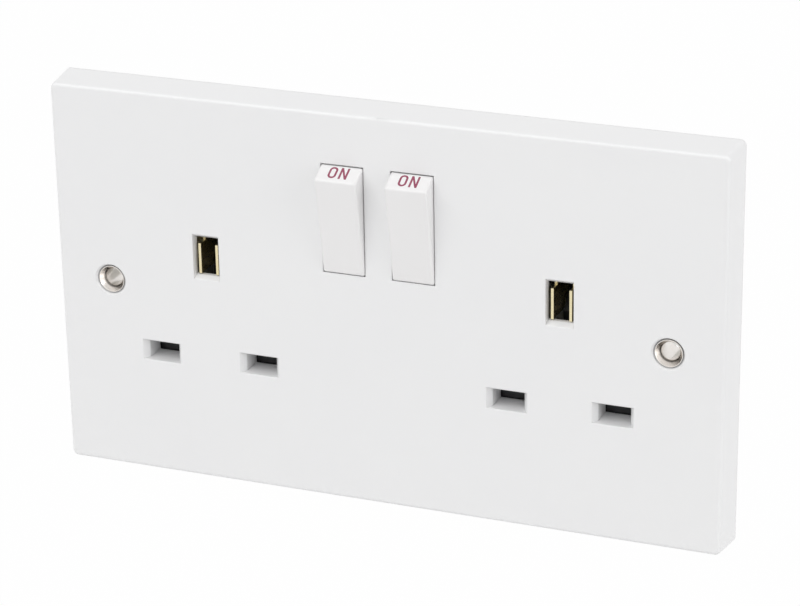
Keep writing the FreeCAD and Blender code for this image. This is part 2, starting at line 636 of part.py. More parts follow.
def terminal_block(name, x):
    """A drawn brass block with a bore for the conductors and a tapped hole for the clamp screw."""
    piece = Piece("terminal_block_" + name)
    front = f"{BAR_FRONT} - terminal_depth"
    low, high = around(TERMINAL_ROW, "terminal_height / 2")
    piece.add("z", low, high, rectangle(*around(x, "terminal_width / 2"), front, BAR_FRONT))
    piece.cut("z", low, high, circle(x, WIRE_DEPTH, "wire_radius"))
    piece.cut("y", BAR_FRONT, WIRE_DEPTH, circle(x, TERMINAL_ROW, "clamp_radius + running_gap"))


def cut_head(piece, x, z, head_end, is_cross):
    """The driver's recess in a screw head."""
    floor = f"{head_end} - recess_depth"
    flat = rectangle(*around(x, "recess_length / 2"), *around(z, "recess_width / 2"))
    upright = rectangle(*around(x, "recess_width / 2"), *around(z, "recess_length / 2"))
    piece.cut("y", head_end, floor, flat)
    if is_cross:
        piece.cut("y", head_end, floor, upright)


def screw_group(label, screws):
    """Screws that are all alike, kept as separate solids in one node."""
    group = document.addObject("Part::Compound", label)
    group.Links = [screw.body for screw in screws]
    group.Label = label
    nodes.append(group)


def cover_screws():
    screws = []
    for number, (x, z) in enumerate(COVER_SCREWS, start=1):
        screw = Piece(f"cover_screw_{number}", is_node=False)
        tip = f"{HEAD_SEAT} - screw_length"
        head_end = f"{HEAD_SEAT} + screw_head"
        section = [("0", tip), ("screw_radius", f"{tip} + screw_radius"), ("screw_radius", HEAD_SEAT),
                   ("screw_head_radius", HEAD_SEAT), ("screw_head_radius", f"{head_end} - recess_width"),
                   ("screw_head_radius - recess_width", head_end), ("0", head_end)]
        screw.turn("Revolution", x, z, section)
        cut_head(screw, x, z, head_end, is_cross=True)
        screws.append(screw)
    screw_group("cover_screws", screws)


def terminal_screws():
    screws = []
    for name, x in TERMINALS:
        screw = Piece("terminal_screw_" + name, is_node=False)
        tip = f"({WIRE_DEPTH} + wire_radius + clamp_tip_gap)"
        head = f"({BAR_BACK} + clamp_out)"
        head_end = f"{head} + clamp_head"
        section = [("0", tip), ("clamp_radius", tip), ("clamp_radius", head), ("clamp_head_radius", head),
                   ("clamp_head_radius", head_end), ("0", head_end)]
        screw.turn("Revolution", x, TERMINAL_ROW, section)
        cut_head(screw, x, TERMINAL_ROW, head_end, is_cross=False)
        screws.append(screw)
    screw_group("terminal_screws", screws)


def rocker(name, side):
    """A hollow rocker with sloped ends, two trunnions and a stem for the plunger, level about its pivot."""
    piece = Piece("rocker_" + name)
    face = "(-rocker_face_out)"
    face_end = "(opening_height / 2 - rocker_face_inset)"
    foot = "(opening_height / 2 + rocker_foot_out)"
    skirt = "(opening_height / 2 - rocker_skirt_inset)"
    outline = [(face, f"-{face_end}"), (face, face_end), ("-rocker_end_out", foot), ("rocker_skirt", skirt),
               ("rocker_skirt", f"-{skirt}"), ("-rocker_end_out", f"-{foot}")]
    sides = around("0", "opening_width / 2 - rocker_side_gap")
    piece.add("x", *sides, outline)
    piece.round("rocker_ridge_round", lambda edge: is_ridge(edge, face, sides))
    piece.round("rocker_side_round", lambda edge: is_face_side(edge, face, sides))
    roof = f"{face} + rocker_wall"
    hollow = rectangle(roof, "rocker_skirt", *around("0", f"{face_end} - rocker_wall"))
    inside = around("0", "opening_width / 2 - rocker_side_gap - rocker_wall")
    piece.cut("x", *inside, hollow)
    piece.add("y", "stem_reach", roof, circle("0", "0", "stem_radius"))
    piece.cut("y", "stem_reach", "-stem_floor", circle("0", "0", "plunger_radius + plunger_fit"))
    ends = around("0", "opening_width / 2 + trunnion_length")
    for start, end in zip(sides, ends):
        piece.add("x", start, end, circle("0", "0", "trunnion_radius"))
    piece.tilt(rocker_x(side), PIVOT, "rocker_rise", "rocker_tilt")


def is_ridge(edge, face, sides):
    return spans(edge, "X", *sides) and spans(edge, "Y", face, face)


def is_face_side(edge, face, sides):
    """The two long edges of the face, at its sides."""
    on_side = spans(edge, "X", sides[0], sides[0]) or spans(edge, "X", sides[1], sides[1])
    return on_side and spans(edge, "Y", face, face)


def plunger(name, side):
    """The round-ended pin in the stem that pushes the lever over."""
    piece = Piece("plunger_" + name)
    tip = f"({LEVER_PIVOT} - lever_thickness / 2 - plunger_gap - {PIVOT})"
    piece.add("y", "plunger_start", tip, circle("0", "0", "plunger_radius"))
    piece.round("plunger_dome", lambda edge: spans(edge, "Y", tip, tip))
    piece.tilt(rocker_x(side), PIVOT, "rocker_rise", "rocker_tilt")


def plunger_spring(name, side):
    piece = Piece("plunger_spring_" + name)
    start = "(plunger_wire + spring_end_gap - stem_floor)"
    height = f"(plunger_start - plunger_wire - spring_end_gap - {start})"
    wire = piece.sketch("z", "0", [circle("plunger_coil_radius", start, "plunger_wire")])
    piece.coil(wire, height, "plunger_turns")
    piece.tilt(rocker_x(side), PIVOT, "rocker_rise", "rocker_tilt")


def contact_lever(name, side):
    """A strip that rocks on two ears, its arms bent towards the plunger."""
    piece = Piece("contact_lever_" + name)
    half = "lever_thickness / 2"
    lean = "lever_reach * tan(lever_bend)"
    section = [(f"-{half} - {lean}", "lever_reach"), (f"-{half}", "0"),
               (f"-{half} - {lean}", "-lever_reach"), (f"{half} - {lean}", "-lever_reach"),
               (half, "0"), (f"{half} - {lean}", "lever_reach")]
    edges = around("0", "lever_width / 2")
    ends = around("0", "lever_width / 2 + sliding_gap + fulcrum_wall")
    piece.add("x", *edges, section)
    for start, end in zip(edges, ends):
        piece.add("x", start, end, circle("0", "0", "lever_ear_radius"))
    piece.tilt(rocker_x(side), LEVER_PIVOT, "rocker_rise", "-lever_bend")


def contact_tip(label, side, start, end):
    """A silver button, riveted to a strip or a lever."""
    button = document.addObject("Part::Cylinder", label)
    button.Label = label
    button.setExpression("Radius", bound("tip_radius"))
    button.setExpression("Height", bound(f"({end}) - ({start})"))
    into_wall = FreeCAD.Rotation(FreeCAD.Vector(1, 0, 0), -90)
    button.Placement = FreeCAD.Placement(FreeCAD.Vector(), into_wall)
    for axis, place in zip("xyz", (rocker_x(side), start, TIP_ROW)):
        button.setExpression(f"Placement.Base.{axis}", bound(place))
    nodes.append(button)


def contact_tips(name, side):
    lever_back = f"({LEVER_PIVOT} + lever_thickness / 2)"
    contact_tip("moving_tip_" + name, side, lever_back, f"{lever_back} + tip_thickness")
    contact_tip("fixed_tip_" + name, side, f"{lever_back} + tip_thickness + tip_gap", BAR_FRONT)


def shutter(name, side):
    """A crossbar behind the line and neutral slots, on a stem whose ramp the earth pin pushes down."""
    piece = Piece("shutter_" + name)
    low, high = around(PIN_ROW, SHUTTER_HALF)
    reach = "(pin_spacing + line_slot_width) / 2 + shutter_end_lap"
    bar = rectangle(*around(socket_x(side), reach), low, high)
    piece.add("y", SHUTTER_FRONT, SHUTTER_BACK, bar)
    top = f"({EARTH_ROW} - earth_pin_height / 2 + shutter_travel)"
    foot = f"({top} - shutter_ramp)"
    ramp_end = f"({SHUTTER_FRONT} + shutter_ramp)"
    stem = [(SHUTTER_FRONT, high), (SHUTTER_FRONT, foot), (ramp_end, top),
            (f"{ramp_end} + shutter_thickness", top), (SHUTTER_BACK, f"{foot} - shutter_thickness / 2"),
            (SHUTTER_BACK, high)]
    piece.add("x", *around(socket_x(side), f"{EARTH_GAP} / 2 - sliding_gap"), stem)
    peg = circle(socket_x(side), SPRING_DEPTH, "spring_peg_radius")
    piece.add("z", low, f"{low} - spring_peg_length", peg)


def shutter_spring(name, side):
    piece = Piece("shutter_spring_" + name)
    seat = f"{PIN_ROW} - {SHUTTER_HALF}"
    start = f"({COVER_BASE} + spring_wire + spring_end_gap)"
    height = f"({seat} - spring_wire - spring_end_gap - {start})"
    section = [circle("spring_coil_radius", start, "spring_wire")]
    wire = piece.sketch("y", SPRING_DEPTH, section, shift=socket_x(side))
    piece.coil(wire, height, "spring_turns")


def rear_cover():
    """The moulded tray behind the plate that carries the metalwork, with a channel for the earth strip."""
    cover = Piece("rear_cover")
    cover.add("y", WALL_BACK, COVER_BACK, rectangle(*around("0", COVER_END), COVER_BOTTOM, COVER_TOP))
    cover.round("cover_corner", lambda edge: spans(edge, "Y", WALL_BACK, COVER_BACK))
    cover.round("cover_edge", lambda edge: spans(edge, "Y", COVER_BACK, COVER_BACK))
    channel_low = f"({EARTH_LOW} - bar_thickness - strip_gap)"
    channel_high = f"({EARTH_HIGH} + strip_gap)"
    channel_end = f"({EARTH_BAR_END} + strip_gap)"
    ends = around("0", f"{channel_end} + cover_wall")
    cover.add("y", COVER_BACK, CHANNEL_BACK,
              rectangle(*ends, f"{channel_low} - cover_wall", f"{channel_high} + cover_wall"))
    cover.round("cover_edge", lambda edge: spans(edge, "Y", COVER_BACK, CHANNEL_BACK))
    cover.round("cover_edge", lambda edge: spans(edge, "Y", CHANNEL_BACK, CHANNEL_BACK))
    cover.cut("y", WALL_BACK, FLOOR, rectangle(*around("0", COVER_INSIDE), COVER_BASE, COVER_HEAD))
    cover.cut("y", FLOOR, CHANNEL_FLOOR, rectangle(*around("0", channel_end), channel_low, channel_high))
    add_supports(cover)
    cut_cover_holes(cover)


def add_supports(cover):
    """Blocks under the strips, rails behind the shutters, pegs for their springs and screw wells."""
    access = f"{TERMINAL_ROW} + clamp_head_radius + clamp_access + sliding_gap"
    tab_end = f"{TERMINAL_ROW} + terminal_height / 2"
    blocks = []
    for name in ("neutral", "line"):
        blocks.append(rectangle(*around(TERMINAL_X[name], "bar_width / 2"), access, tab_end))
    for side in (-1, 1):
        for middle in (neutral_x(side), line_x(side)):
            across = around(middle, "bar_width / 2")
            blocks.append(rectangle(*across, *around(PIN_ROW, "line_clip_half - leaf_thickness")))
        across = around(rocker_x(side), "bar_width / 2")
        blocks.append(rectangle(*across, *around("rocker_rise", "fulcrum_height / 2 - sliding_gap")))
        blocks.append(rectangle(*across, *around(TIP_ROW, "bar_width / 2 - sliding_gap")))
    cover.add("y", FLOOR, BAR_BACK, *blocks)
    rails = []
    for side in (-1, 1):
        for hand in (-1, 1):
            near = f"{socket_x(side)} + {hand} * rail_offset"
            far = f"{near} + {hand} * rail_wall"
            rails.append(rectangle(near, far, *around(PIN_ROW, SHUTTER_HALF)))
    cover.add("y", FLOOR, f"{SHUTTER_BACK} + sliding_gap", *rails)
    pegs = [circle(socket_x(side), SPRING_DEPTH, "spring_peg_radius") for side in (-1, 1)]
    cover.add("z", COVER_BASE, f"{COVER_BASE} + spring_peg_length", *pegs)
    cover.add("y", FLOOR, "pillar_end", *[circle(x, z, WELL) for x, z in COVER_SCREWS])


def cut_cover_holes(cover):
    """Screw wells, access to the clamp screws, the wires' way in and the notches for the earth links."""
    heads = [circle(x, z, "screw_head_radius + sliding_gap") for x, z in COVER_SCREWS]
    shanks = [circle(x, z, "screw_radius + sliding_gap") for x, z in COVER_SCREWS]
    cover.cut("y", COVER_BACK, HEAD_SEAT, *heads)
    cover.cut("y", HEAD_SEAT, "pillar_end", *shanks)
    clamps = [circle(x, TERMINAL_ROW, "clamp_head_radius + clamp_access") for name, x in TERMINALS]
    cover.cut("y", COVER_BACK, FLOOR, *clamps)
    wires = "1.5 * terminal_pitch + wire_radius + wire_entry_gap"
    doorway = rectangle(*around("0", wires), WALL_BACK, f"{WIRE_DEPTH} + wire_radius + wire_entry_gap")
    cover.cut("z", COVER_BOTTOM, COVER_BASE, doorway)
    low = "-link_width / 2 - link_notch"
    high = f"{EARTH_ROW} + link_width / 2 + link_notch"
    notch = rectangle(WALL_BACK, f"{LINK_BACK} + link_notch", low, high)
    for side in (-1, 1):
        cover.cut("x", f"{side} * {COVER_END}", f"{side} * {COVER_INSIDE}", notch)


def build():
    front_plate()
    rear_cover()
    cover_screws()
    live_bar()
    neutral_bar()
    earth_bar()
    for name, x in TERMINALS:
        terminal_block(name, x)
    terminal_screws()
    for name, side in SIDES:
        rocker(name, side)
        plunger(name, side)
        plunger_spring(name, side)
        contact_lever(name, side)
        contact_tips(name, side)
        line_contact(name, side)
        shutter(name, side)
        shutter_spring(name, side)
        earth_clip(name, side)
        earth_link(name, side)
        eyelet(name, side)
    document.recompute()


def check():
    """Stops before anything is written if a feature failed or a piece has no sound solid."""
    for item in document.Objects:
        if "Invalid" in item.State or "Error" in item.State:
            raise RuntimeError(f"{item.Label} failed: {item.State}")
    for node in nodes:
        if node.Shape.isNull() or not node.Shape.isValid() or not node.Shape.Solids:
            raise RuntimeError(f"{node.Label} has no sound solid")


def export():
    os.makedirs("parts", exist_ok=True)
    for node in nodes:
        node.Shape.exportStep(f"parts/{node.Label}.step")
        print(node.Label, len(node.Shape.Solids), round(node.Shape.Volume, 2))


fill_sheet()
build()
check()
export()
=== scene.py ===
# %% [markdown]
# A British twin switched socket
#
# This lesson dresses a finished CAD model of a twin wall socket: a white moulded plate with two
# rockers, six pin slots and two plated eyelets, and the metalwork behind it. The CAD gives every
# shape its true size, so most of the work here is finishes, a little print, light and a camera.

import json
import math

import bmesh
import bpy
from mathutils import Matrix, Vector


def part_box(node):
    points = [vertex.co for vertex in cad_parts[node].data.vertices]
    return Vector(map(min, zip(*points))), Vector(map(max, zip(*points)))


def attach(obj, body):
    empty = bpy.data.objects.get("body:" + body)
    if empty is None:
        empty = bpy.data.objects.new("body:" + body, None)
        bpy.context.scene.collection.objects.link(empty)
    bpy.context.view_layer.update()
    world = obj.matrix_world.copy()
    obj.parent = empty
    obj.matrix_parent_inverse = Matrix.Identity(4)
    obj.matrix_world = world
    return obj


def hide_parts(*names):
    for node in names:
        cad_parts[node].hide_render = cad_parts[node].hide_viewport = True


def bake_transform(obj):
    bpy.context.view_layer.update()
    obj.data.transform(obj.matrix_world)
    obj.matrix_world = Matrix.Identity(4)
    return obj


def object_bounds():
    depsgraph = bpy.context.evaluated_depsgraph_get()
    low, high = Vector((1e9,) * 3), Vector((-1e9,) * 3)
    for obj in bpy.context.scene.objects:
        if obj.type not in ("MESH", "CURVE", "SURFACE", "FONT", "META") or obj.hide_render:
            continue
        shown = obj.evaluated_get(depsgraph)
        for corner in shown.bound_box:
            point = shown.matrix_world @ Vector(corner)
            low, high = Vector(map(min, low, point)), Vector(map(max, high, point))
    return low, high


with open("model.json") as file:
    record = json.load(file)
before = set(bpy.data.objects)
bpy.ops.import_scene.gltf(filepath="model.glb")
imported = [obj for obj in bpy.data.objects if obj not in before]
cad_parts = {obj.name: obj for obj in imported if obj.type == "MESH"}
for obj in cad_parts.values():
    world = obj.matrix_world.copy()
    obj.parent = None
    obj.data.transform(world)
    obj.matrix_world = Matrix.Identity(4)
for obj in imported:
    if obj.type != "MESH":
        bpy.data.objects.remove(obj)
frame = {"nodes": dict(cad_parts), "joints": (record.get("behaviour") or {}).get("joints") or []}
cad_bounds = [list(corner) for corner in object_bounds()]
nodes = frame["nodes"]
MM = 0.001
SIDES = ("left", "right")
box_mm = [[round(c / MM, 2) for c in corner] for corner in cad_bounds]
print("loaded", len(nodes), "pieces; box in mm:", box_mm)

# %% [markdown]
# Colour values
#
# A colour picker shows sRGB values, and shaders work in linear light, so one function turns the
# written hex value into linear numbers, by the curve that the sRGB standard gives. Every finish below
# goes through it.

# %% Turn hex values into linear colours
def linear(hex_value):
    """A six digit sRGB hex value as linear red, green, blue and a full alpha."""
    channels = [int(hex_value[i:i + 2], 16) / 255 for i in (0, 2, 4)]
    return [c / 12.92 if c <= 0.04045 else ((c + 0.055) / 1.055) ** 2.4 for c in channels] + [1.0]


print("mid grey 808080 is", round(linear("808080")[0], 3), "in linear light")

# %% [markdown]
# Adding nodes
#
# A material is a small graph. Writing each node by hand takes four or five lines, so one function
# adds a node, sets what it is told to, and fills or links its inputs. Pattern scales are counted per
# metre, so a second small function turns a real size in millimetres into that number. A third starts
# a material.

# %% Helpers for nodes, real sizes and new materials
def add_node(tree, kind, inputs=None, **settings):
    """Adds a node, applies its settings, and fills each named input with a value or a link."""
    node = tree.nodes.new(kind)
    for name, setting in settings.items():
        setattr(node, name, setting)
    for name, source in (inputs or {}).items():
        if isinstance(source, bpy.types.NodeSocket):
            tree.links.new(source, node.inputs[name])
        else:
            node.inputs[name].default_value = source
    return node


def per_metre(size_mm):
    """The texture scale that gives marks of about this size."""
    return 1.0 / (size_mm * MM)


def start_finish(name, roughness, metallic=0.0, ior=None):
    """A new material with its shader, and the object coordinates that its patterns follow."""
    material = bpy.data.materials.new(name)
    material.use_nodes = True
    tree = material.node_tree
    shader = tree.nodes["Principled BSDF"]
    shader.inputs["Roughness"].default_value = roughness
    shader.inputs["Metallic"].default_value = metallic
    if ior:
        shader.inputs["IOR"].default_value = ior
    place = add_node(tree, "ShaderNodeTexCoord").outputs["Object"]
    return material, tree, shader, place


print("marks of 2 mm need a scale of", per_metre(2.0))

# %% [markdown]
# White mouldings
#
# The plate is urea moulding powder pressed hot in a polished steel mould. Up close such a plate has a
# very slight orange peel, its gloss varies a little where the mould was wiped, and its white drifts by
# a shade where the powder flowed. Three noises at those three sizes give all of it. Tumbling takes the
# flash off and leaves every edge a little soft, and a Bevel node rounds the light there. The rockers are
# polycarbonate from a polished mould too, with softer edges.
#
# A Mix node has one set of sockets for numbers, one for vectors and one for colours, all with the same
# names, so those for colours are picked by number.

# %% Make the white mouldings
SHARE, FIRST, SECOND, MIXED = 0, 6, 7, 2
FLOW_MM = 25.0
WIPE_MM = 6.0
PEEL_MM = 1.2
PEEL_HEIGHT = 0.02 * MM


def white_moulding(name, pale, deep, ior, edge_mm):
    """A glossy white moulding: flow shading, wiped gloss, orange peel, and edges softened by edge_mm."""
    material, tree, shader, place = start_finish(name, 0.3, ior=ior)
    flow = add_node(tree, "ShaderNodeTexNoise",
                    {"Vector": place, "Scale": per_metre(FLOW_MM), "Detail": 2.0})
    shade = add_node(tree, "ShaderNodeMix",
                     {SHARE: flow.outputs["Fac"], FIRST: linear(pale), SECOND: linear(deep)},
                     data_type="RGBA")
    wiped = add_node(tree, "ShaderNodeTexNoise",
                     {"Vector": place, "Scale": per_metre(WIPE_MM), "Detail": 3.0})
    gloss = add_node(tree, "ShaderNodeMapRange",
                     {"Value": wiped.outputs["Fac"], "To Min": 0.27, "To Max": 0.37})
    peel = add_node(tree, "ShaderNodeTexNoise",
                    {"Vector": place, "Scale": per_metre(PEEL_MM), "Detail": 1.0})
    edge = add_node(tree, "ShaderNodeBevel", {"Radius": edge_mm * MM}, samples=8)
    skin = add_node(tree, "ShaderNodeBump",
                    {"Height": peel.outputs["Fac"], "Strength": 0.12, "Distance": PEEL_HEIGHT,
                     "Normal": edge.outputs["Normal"]})
    tree.links.new(shade.outputs[MIXED], shader.inputs["Base Color"])
    tree.links.new(gloss.outputs["Result"], shader.inputs["Roughness"])
    tree.links.new(skin.outputs["Normal"], shader.inputs["Normal"])
    return material


plate_white = white_moulding("urea_moulding_white", "E9E9E9", "E6E6E7", 1.54, 0.35)
rocker_white = white_moulding("polycarbonate_moulding_white", "EAE9E9", "E7E6E6", 1.585, 0.7)
print("made", plate_white.name, "and", rocker_white.name)

# %% [markdown]
# Duller plastics
#
# The cover behind the plate, the black shutters and the natural nylon plungers come from spark eroded
# moulds, which leave a fine even grain and no gloss. Grain of 0.15 mm would be too fine to show in a
# picture of the whole thing, so it is drawn at 0.5 mm.

# %% Make the matt mouldings
CLOUDING_MM = 14.0
GRAIN_MM = 0.5
GRAIN_HEIGHT = 0.03 * MM
GRAIN_SPREAD = 0.06


def matt_moulding(name, pale, deep, roughness, ior):
    """A spark eroded moulding: slow shading and a grain that also varies the roughness."""
    material, tree, shader, place = start_finish(name, roughness, ior=ior)
    flow = add_node(tree, "ShaderNodeTexNoise",
                    {"Vector": place, "Scale": per_metre(CLOUDING_MM), "Detail": 3.0})
    shade = add_node(tree, "ShaderNodeMix",
                     {SHARE: flow.outputs["Fac"], FIRST: linear(pale), SECOND: linear(deep)},
                     data_type="RGBA")
    grain = add_node(tree, "ShaderNodeTexNoise",
                     {"Vector": place, "Scale": per_metre(GRAIN_MM), "Detail": 2.0})
    dull = add_node(tree, "ShaderNodeMapRange",
                    {"Value": grain.outputs["Fac"],
                     "To Min": roughness - GRAIN_SPREAD, "To Max": roughness + GRAIN_SPREAD})
    skin = add_node(tree, "ShaderNodeBump",
                    {"Height": grain.outputs["Fac"], "Strength": 0.25, "Distance": GRAIN_HEIGHT})
    tree.links.new(shade.outputs[MIXED], shader.inputs["Base Color"])
    tree.links.new(dull.outputs["Result"], shader.inputs["Roughness"])
    tree.links.new(skin.outputs["Normal"], shader.inputs["Normal"])
    return material


cover_white = matt_moulding("glass_filled_nylon_cover", "DEDEDA", "D4D4CF", 0.55, 1.53)
shutter_black = matt_moulding("black_nylon_shutter", "17171A", "101012", 0.42, 1.53)
nylon = matt_moulding("natural_nylon", "EFE8D6", "E6DDC6", 0.48, 1.53)
print("made", cover_white.name, shutter_black.name, nylon.name)

# %% [markdown]
# Rolled and drawn metal
#
# Clips, bars and contacts are blanked from rolled brass strip. Rolling leaves fine streaks along the
# strip, and the air leaves a faint uneven tarnish. A noise stretched by a Mapping node gives the
# streaks, and a wide one gives the tarnish. The terminal blocks are cut from drawn brass bar and the
# springs are drawn wire, which have such streaks too. The silver tips are pressed, so their marks
# aren't stretched. Metals keep the default index of refraction.

# %% Make the brass, the spring wire and the silver
TARNISH_MM = 7.0
STREAK_HEIGHT = 0.02 * MM
STREAK_SMOOTHER = 0.08
STREAK_ROUGHER = 0.1
ALONG_X = (0.06, 1.0, 1.0)
ALONG_Z = (1.0, 1.0, 0.06)
NO_STRETCH = (1.0, 1.0, 1.0)


def rolled_metal(name, bright, tarnished, roughness, streak, along=ALONG_X):
    """A rolled or drawn metal: streaks of the given width in mm, and patches of tarnish."""
    material, tree, shader, place = start_finish(name, roughness, metallic=1.0)
    drawn = add_node(tree, "ShaderNodeMapping", {"Vector": place, "Scale": along})
    lines = add_node(tree, "ShaderNodeTexNoise",
                     {"Vector": drawn.outputs["Vector"], "Scale": per_metre(streak), "Detail": 3.0})
    patches = add_node(tree, "ShaderNodeTexNoise",
                       {"Vector": place, "Scale": per_metre(TARNISH_MM), "Detail": 4.0})
    tone = add_node(tree, "ShaderNodeMix",
                    {SHARE: patches.outputs["Fac"], FIRST: linear(bright), SECOND: linear(tarnished)},
                    data_type="RGBA")
    polish = add_node(tree, "ShaderNodeMapRange",
                      {"Value": lines.outputs["Fac"],
                       "To Min": roughness - STREAK_SMOOTHER, "To Max": roughness + STREAK_ROUGHER})
    skin = add_node(tree, "ShaderNodeBump",
                    {"Height": lines.outputs["Fac"], "Strength": 0.15, "Distance": STREAK_HEIGHT})
    tree.links.new(tone.outputs[MIXED], shader.inputs["Base Color"])
    tree.links.new(polish.outputs["Result"], shader.inputs["Roughness"])
    tree.links.new(skin.outputs["Normal"], shader.inputs["Normal"])
    return material


brass_strip = rolled_metal("rolled_brass_strip", "F1E7C6", "E2D2A2", 0.28, 0.3)
brass_bar = rolled_metal("drawn_brass_bar", "D2AE68", "B08A4A", 0.34, 0.3, along=ALONG_Z)
spring_wire = rolled_metal("drawn_spring_steel", "A9A9A8", "8C8C8B", 0.32, 0.2)
silver = rolled_metal("silver_contact_face", "E4E2DC", "CFCBC0", 0.36, 0.4, along=NO_STRETCH)
print("made", brass_strip.name, brass_bar.name, spring_wire.name, silver.name)

# %% [markdown]
# Plated metal
#
# The eyelets are brass tube plated with bright nickel, and the screws are steel with bright zinc. The
# eyelets are turned round an axis, so their marks are rings about it. A Wave texture in rings does
# this, once a Mapping node has moved its middle to the axis. The screws share one finish, with its rings
# about the middle of the cover screws, so each head has fine arcs. At the throat of an eyelet and at the
# turned edge of its flange the plating is painted darker by its radius: painted shade and painted
# reflection.

# %% Make the plated metals
# The dark rings at the eyelets' throat and flange rim are painted shade and painted reflection, in this
# colour and at these radii.
PAINTED_RING_DARK = "5B5956"
CLOUD_MM = 2.5
RING_HEIGHT = 0.02 * MM
CLOUD_SMOOTHER = 0.05
CLOUD_ROUGHER = 0.07
EYELET_PAINTED_RINGS = [(2.06, 0.2, 0.85), (2.94, 0.18, 0.62)]


def plated_metal(name, bright, dull, roughness, ring, middle, corners=()):
    """A plated piece with ring marks of the given spacing in mm about a Y axis through middle.

    Each of corners is a ring of painted shade and painted reflection: a radius in mm, how far it reaches in
    mm, and how strong it is."""
    material, tree, shader, place = start_finish(name, roughness, metallic=1.0)
    centred = add_node(tree, "ShaderNodeMapping", {"Vector": place, "Location": [-c for c in middle]})
    rings = add_node(tree, "ShaderNodeTexWave",
                     {"Vector": centred.outputs["Vector"], "Scale": per_metre(ring) / math.tau,
                      "Distortion": 0.6, "Detail": 1.0},
                     wave_type="RINGS", rings_direction="Y")
    cloud = add_node(tree, "ShaderNodeTexNoise",
                     {"Vector": place, "Scale": per_metre(CLOUD_MM), "Detail": 4.0})
    tone = add_node(tree, "ShaderNodeMix",
                    {SHARE: cloud.outputs["Fac"], FIRST: linear(bright), SECOND: linear(dull)},
                    data_type="RGBA")
    flat = add_node(tree, "ShaderNodeVectorMath", {0: centred.outputs["Vector"], 1: (1, 0, 1)},
                    operation="MULTIPLY")
    from_axis = add_node(tree, "ShaderNodeVectorMath", {0: flat.outputs["Vector"]}, operation="LENGTH")
    colour = tone.outputs[MIXED]
    # Painted shade and painted reflection: each ring darkens the plating by its distance from the axis.
    for radius_mm, reach_mm, strength in corners:
        away = add_node(tree, "ShaderNodeMath", {0: from_axis.outputs["Value"], 1: radius_mm * MM},
                        operation="SUBTRACT")
        off = add_node(tree, "ShaderNodeMath", {0: away.outputs[0]}, operation="ABSOLUTE")
        shade = add_node(tree, "ShaderNodeMapRange",
                         {"Value": off.outputs[0], "From Max": reach_mm * MM,
                          "To Min": strength, "To Max": 0.0},
                         interpolation_type="SMOOTHSTEP")
        with_painted_ring = add_node(tree, "ShaderNodeMix",
                          {SHARE: shade.outputs["Result"], FIRST: colour, SECOND: linear(PAINTED_RING_DARK)},
                          data_type="RGBA")
        colour = with_painted_ring.outputs[MIXED]
    polish = add_node(tree, "ShaderNodeMapRange",
                      {"Value": cloud.outputs["Fac"],
                       "To Min": roughness - CLOUD_SMOOTHER, "To Max": roughness + CLOUD_ROUGHER})
    skin = add_node(tree, "ShaderNodeBump",
                    {"Height": rings.outputs["Fac"], "Strength": 0.08, "Distance": RING_HEIGHT})
    tree.links.new(colour, shader.inputs["Base Color"])
    tree.links.new(polish.outputs["Result"], shader.inputs["Roughness"])
    tree.links.new(skin.outputs["Normal"], shader.inputs["Normal"])
    return material


def middle_of(name):
    """The middle of a piece's box."""
    low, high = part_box(name)
    return (low + high) / 2


nickel = {}
for side in SIDES:
    nickel[side] = plated_metal(f"bright_nickel_{side}", "F6F2EE", "EAE5E0", 0.23, 0.25,
                                middle_of(f"eyelet_{side}"), corners=EYELET_PAINTED_RINGS)
zinc = plated_metal("bright_zinc_steel", "CFCFCB", "B9B9B4", 0.27, 0.3, middle_of("cover_screws"))
print("made", zinc.name, "and", [finish.name for finish in nickel.values()])

# %% [markdown]
# Dressing the pieces
#
# Every CAD piece already has the right shape, so it keeps its mesh and only its material slots change.
# A table from finish to pieces keeps that in one place. Names with a side are written once, and the
# eyelets are left out of it because each has a finish of its own, centred on its axis.

# %% Give each piece its finish
FINISHES = [
    (plate_white, ["front_plate"]),
    (rocker_white, ["rocker"]),
    (cover_white, ["rear_cover"]),
    (shutter_black, ["shutter"]),
    (nylon, ["plunger"]),
    (brass_strip, ["live_bar", "neutral_bar", "earth_bar", "earth_clip", "earth_link",
                   "contact_lever", "line_contact"]),
    (brass_bar, ["terminal_block"]),
    (silver, ["moving_tip", "fixed_tip"]),
    (spring_wire, ["plunger_spring", "shutter_spring"]),
    (zinc, ["cover_screws", "terminal_screws"]),
]
ENDINGS = ("_neutral", "_earth_left", "_earth_right", "_line", "_left", "_right")


def kind_of(name):
    """A piece's name without its side or its terminal."""
    for ending in ENDINGS:
        if name.endswith(ending):
            return name[:-len(ending)]
    return name


def dress(piece, finish):
    """Puts a finish in every material slot of a piece."""
    if not piece.material_slots:
        piece.data.materials.append(finish)
    for slot in piece.material_slots:
        slot.material = finish


finish_of = {kind: finish for finish, kinds in FINISHES for kind in kinds}
for name, piece in nodes.items():
    if kind_of(name) == "eyelet":
        dress(piece, nickel[name.split("_")[-1]])
    else:
        dress(piece, finish_of[kind_of(name)])
print("dressed", len(nodes), "pieces in", len(FINISHES) + len(nickel), "finishes")

# %% [markdown]
# The printed words
#
# Each rocker says ON in crimson on the slope above its face, pad printed in thin upright capitals. A
# font would do, but its strokes come out too heavy and too wide, so the two letters are drawn from
# a few vertices: the O is a rectangle with its corners bevelled round and its middle taken out, and the
# N is one outline. Both are given the thickness of an ink film.

# %% Crimson ink
SPECK_MM = 0.25
INK_HOLDS = 0.45
INK_THINS = 0.75


